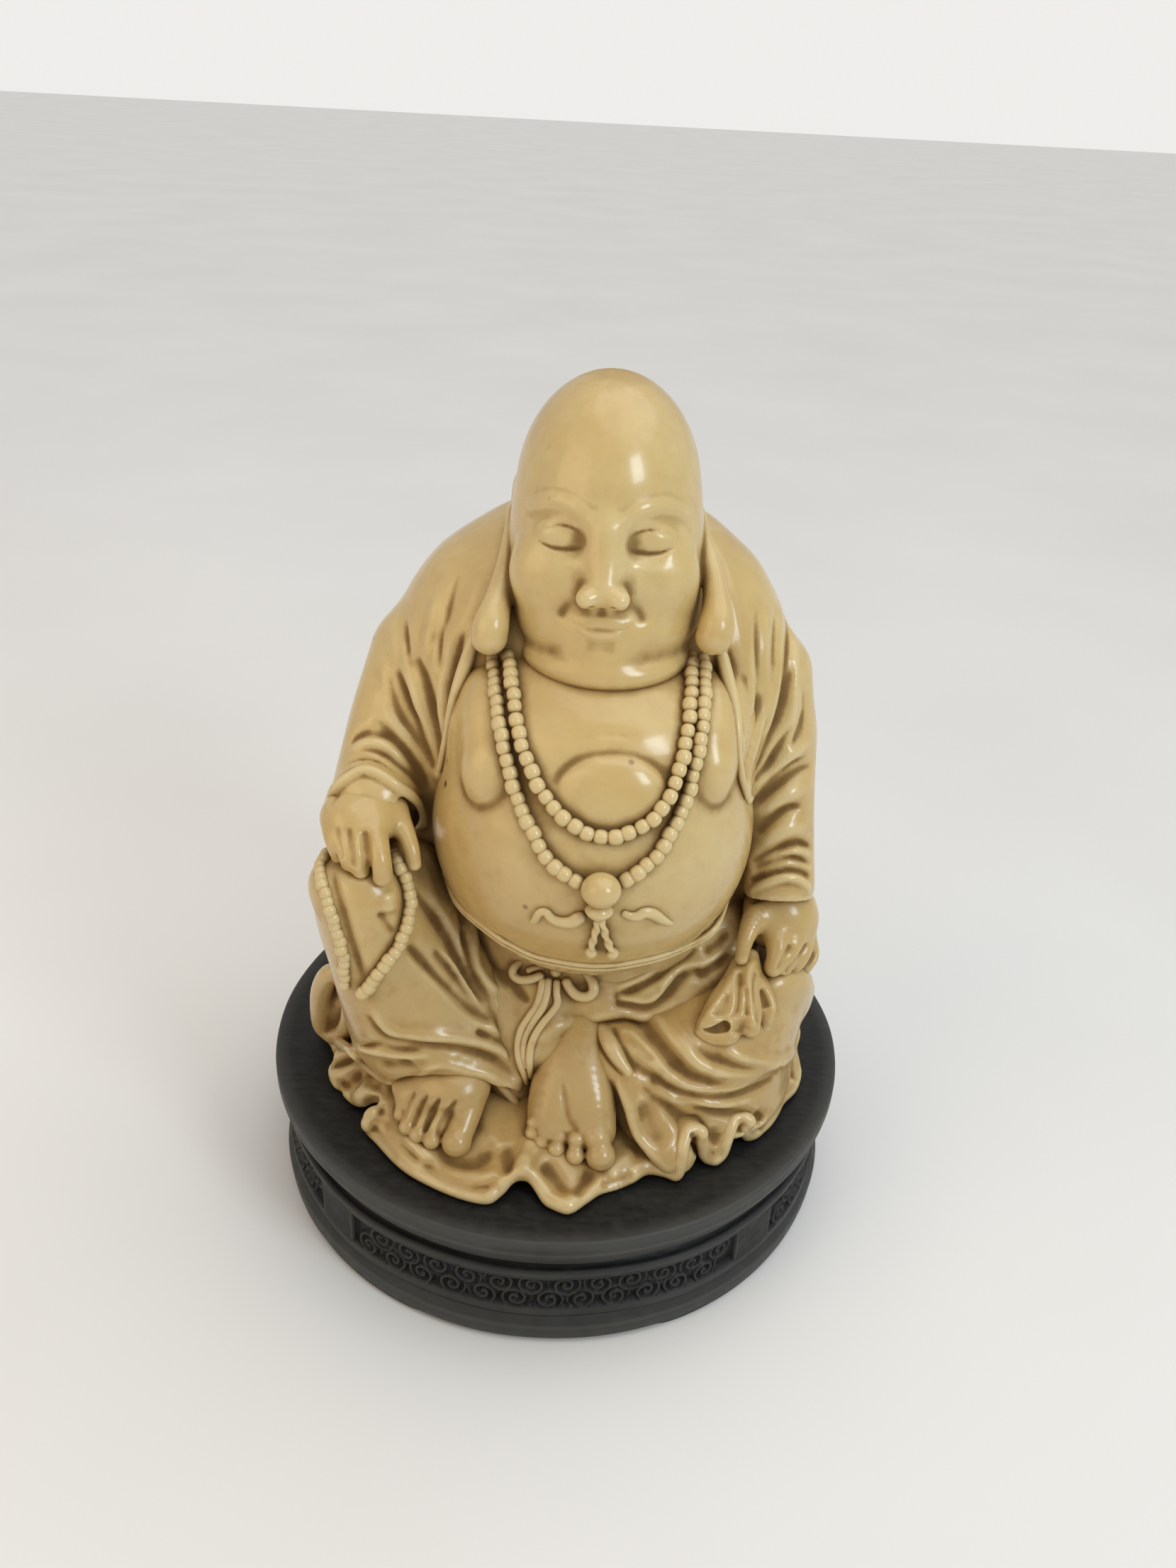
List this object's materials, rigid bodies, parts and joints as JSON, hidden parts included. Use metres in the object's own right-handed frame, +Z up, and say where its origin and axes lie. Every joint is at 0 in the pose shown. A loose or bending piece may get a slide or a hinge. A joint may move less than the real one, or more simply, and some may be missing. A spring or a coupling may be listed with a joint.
{
  "type": "buddha statue",
  "caption": "Seated, bald, long-eared monk figure in waxy ivory resin with prayer beads and one knee raised, standing loose on a round, dark, carved wooden stand.",
  "frame": {"origin": "middle of the stand's underside, on the surface that the stand rests on", "axes": "+Z up; the figure looks along -Y; +X is to the right of someone facing it"},
  "size_m": [0.15, 0.15, 0.2098],
  "materials": {
    "ivory_resin": "waxy semi-gloss cast resin with brown antiquing in the grooves",
    "dark_wood": "black-stained, matte",
    "dowel_wood": "bare hardwood dowel"
  },
  "bodies": {
    "stand": {"stand_top": "dark_wood", "stand_apron": "dark_wood", "stand_plinth": "dark_wood", "stand_feet": "dark_wood", "locating_pegs": "dowel_wood"},
    "figure": {"ground_cloth": "ivory_resin", "torso": "ivory_resin", "head": "ivory_resin", "robe_back": "ivory_resin", "robe_skirt": "ivory_resin", "right_sleeve": "ivory_resin", "left_sleeve": "ivory_resin", "right_lapel": "ivory_resin", "left_lapel": "ivory_resin", "right_hand": "ivory_resin", "left_hand": "ivory_resin", "right_leg": "ivory_resin", "left_leg": "ivory_resin", "right_foot": "ivory_resin", "left_foot": "ivory_resin", "inner_necklace": "ivory_resin", "outer_necklace": "ivory_resin", "guru_bead": "ivory_resin", "tassel": "ivory_resin", "tassel_ribbons": "ivory_resin", "hand_beads": "ivory_resin", "waist_cord": "ivory_resin", "waist_bow": "ivory_resin", "held_cloth": "ivory_resin"}
  },
  "joints": [
    {"name": "figure_lift", "type": "slide", "parent": "stand", "child": "figure", "axis": [0, 0, 1], "range_m": [0, 0.06]}
  ]
}
